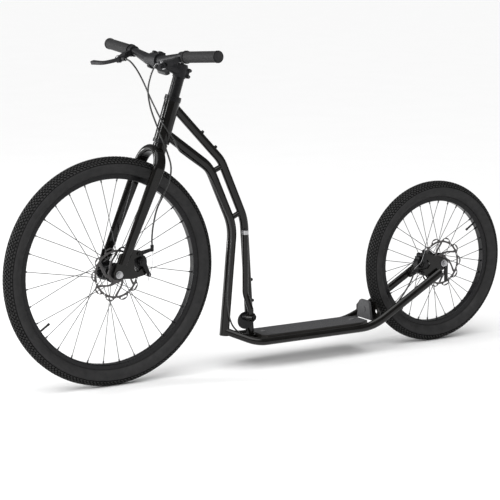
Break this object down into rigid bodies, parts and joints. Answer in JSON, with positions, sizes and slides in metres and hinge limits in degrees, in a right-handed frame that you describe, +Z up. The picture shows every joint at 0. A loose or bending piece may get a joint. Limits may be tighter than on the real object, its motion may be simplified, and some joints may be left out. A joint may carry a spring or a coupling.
{
  "type": "kick scooter",
  "caption": "Adult kick scooter with a large spoked front wheel, a smaller rear wheel, a low footboard, cable disc brakes and a folding stand.",
  "frame": {"origin": "on the ground, midway along the scooter's length and on its centre plane", "axes": "+X forward, +Y to the rider's left, +Z up"},
  "size_m": [1.7424, 0.6478, 0.9767],
  "materials": {
    "gloss_black_paint": "gloss",
    "satin_black_alloy": "satin",
    "black_anodised": "satin",
    "bare_steel": "satin",
    "rotor_steel": "brushed",
    "tyre_rubber": "matte",
    "tube_rubber": "matte",
    "grip_rubber": "matte",
    "deck_laminate": "satin",
    "grip_tape": "rough",
    "black_plastic": "satin",
    "guard_plastic": "satin",
    "cable_jacket": "gloss",
    "chrome_bolt": "polished",
    "pad_compound": "matte"
  },
  "bodies": {
    "frame": {"head_tube": "gloss_black_paint", "down_tube": "gloss_black_paint", "upper_tube": "gloss_black_paint", "tube_bridges": "gloss_black_paint", "left_rail": "gloss_black_paint", "right_rail": "gloss_black_paint", "deck_plates": "gloss_black_paint", "bridge_plate": "gloss_black_paint", "left_dropout": "gloss_black_paint", "right_dropout": "gloss_black_paint", "deck_board": "deck_laminate", "grip_tape": "grip_tape", "deck_bolts": "chrome_bolt", "heel_guard": "guard_plastic", "headset_cups": "black_anodised", "boss_screws": "black_anodised", "rear_caliper": "satin_black_alloy", "rear_pads": "pad_compound", "rear_cable": "cable_jacket", "rear_cable_loop": "cable_jacket", "stand_mount": "satin_black_alloy", "rear_axle": "bare_steel"},
    "steering": {"steerer": "bare_steel", "fork_crown": "gloss_black_paint", "left_blade": "gloss_black_paint", "right_blade": "gloss_black_paint", "headset_bearings": "bare_steel", "spacer": "black_anodised", "stem": "satin_black_alloy", "faceplate": "satin_black_alloy", "stem_bolts": "chrome_bolt", "top_cap": "black_anodised", "handlebar": "satin_black_alloy", "grips": "grip_rubber", "bar_plugs": "black_plastic", "lever_clamps": "satin_black_alloy", "lever_pins": "bare_steel", "front_caliper": "satin_black_alloy", "front_pads": "pad_compound", "front_cable": "cable_jacket", "front_axle": "bare_steel"},
    "left_lever": {"left_lever": "satin_black_alloy"},
    "right_lever": {"right_lever": "satin_black_alloy"},
    "front_arm": {"front_arm": "satin_black_alloy"},
    "rear_arm": {"rear_arm": "satin_black_alloy"},
    "stand": {"stand_leg": "gloss_black_paint", "stand_foot": "black_plastic"},
    "front_wheel": {"front_tyre": "tyre_rubber", "front_inner_tube": "tube_rubber", "front_rim": "black_anodised", "front_spokes": "bare_steel", "front_hub": "black_anodised", "front_rotor": "rotor_steel"},
    "rear_wheel": {"rear_tyre": "tyre_rubber", "rear_inner_tube": "tube_rubber", "rear_rim": "black_anodised", "rear_spokes": "bare_steel", "rear_hub": "black_anodised", "rear_rotor": "rotor_steel"}
  },
  "joints": [
    {"name": "steering_turn", "type": "hinge", "parent": "frame", "child": "steering", "pos_m": [0.359, 0, 0.7271], "axis": [-0.309, 0, 0.9511], "range_deg": [-60, 60], "deforming": ["rear_cable_loop"]},
    {"name": "front_wheel_spin", "type": "hinge", "parent": "steering", "child": "front_wheel", "pos_m": [0.53875, 0, 0.3325], "axis": [0, 1, 0], "continuous": true},
    {"name": "rear_wheel_spin", "type": "hinge", "parent": "frame", "child": "rear_wheel", "pos_m": [-0.61525, 0, 0.256], "axis": [0, 1, 0], "continuous": true},
    {"name": "left_lever_pull", "type": "hinge", "parent": "steering", "child": "left_lever", "pos_m": [0.43363, 0.132, 0.92781], "axis": [0.342, 0, 0.9397], "range_deg": [0, 22], "stiffness_Nm_per_rad": 0.8, "springref_deg": -34.38},
    {"name": "right_lever_pull", "type": "hinge", "parent": "steering", "child": "right_lever", "pos_m": [0.43363, -0.132, 0.92781], "axis": [-0.342, 0, -0.9397], "range_deg": [0, 22], "stiffness_Nm_per_rad": 0.8, "springref_deg": -34.38},
    {"name": "front_arm_pull", "type": "hinge", "parent": "steering", "child": "front_arm", "pos_m": [0.46511, 0.0635, 0.36376], "axis": [0, 1, 0], "range_deg": [0, 22]},
    {"name": "rear_arm_pull", "type": "hinge", "parent": "frame", "child": "rear_arm", "pos_m": [-0.53536, 0.0635, 0.26019], "axis": [0, 1, 0], "range_deg": [0, 22]},
    {"name": "stand_fold", "type": "hinge", "parent": "frame", "child": "stand", "pos_m": [0.08575, 0.031, 0.155], "axis": [-0.5291, 0.8486, 0], "range_deg": [0, 122]}
  ],
  "couplings": [
    {"joint": "front_arm_pull", "follows": "left_lever_pull", "ratio": 1},
    {"joint": "rear_arm_pull", "follows": "right_lever_pull", "ratio": 1}
  ]
}
